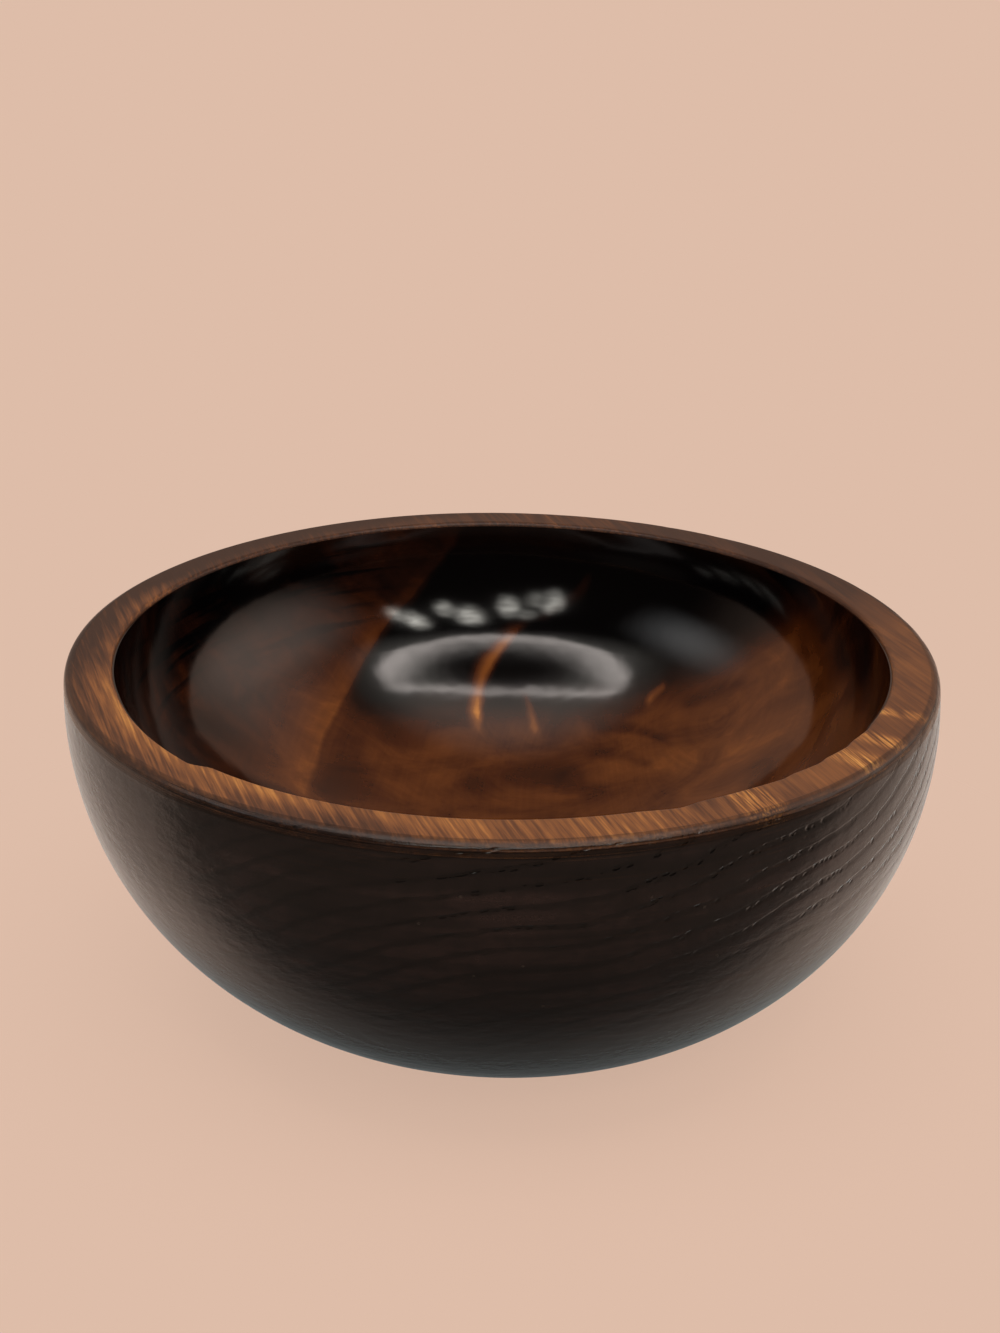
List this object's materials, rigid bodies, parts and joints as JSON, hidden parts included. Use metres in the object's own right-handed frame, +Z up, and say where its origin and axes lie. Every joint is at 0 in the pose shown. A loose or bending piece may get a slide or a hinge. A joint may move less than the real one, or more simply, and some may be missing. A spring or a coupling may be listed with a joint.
{
  "type": "wooden bowl",
  "caption": "Round turned wooden bowl with a thick flat rim, curved wall and flat foot ring; a clear gloss lacquer coat lines the hollow. Free-standing, holds fruit, salad or small things.",
  "frame": {"origin": "centre of the base, on the plane of the foot ring that the bowl stands on", "axes": "+Z up along the turning axis; X and Y are level, and -Y faces the viewer of the picture"},
  "size_m": [0.18, 0.18, 0.075],
  "materials": {
    "dark_wood": "dark brown stained wood, satin, open pores, paler sanded rim",
    "clear_lacquer": "clear high-gloss lacquer over figured brown wood"
  },
  "bodies": {
    "root": {"turned_body": "dark_wood", "inside_lacquer": "clear_lacquer"}
  },
  "joints": []
}
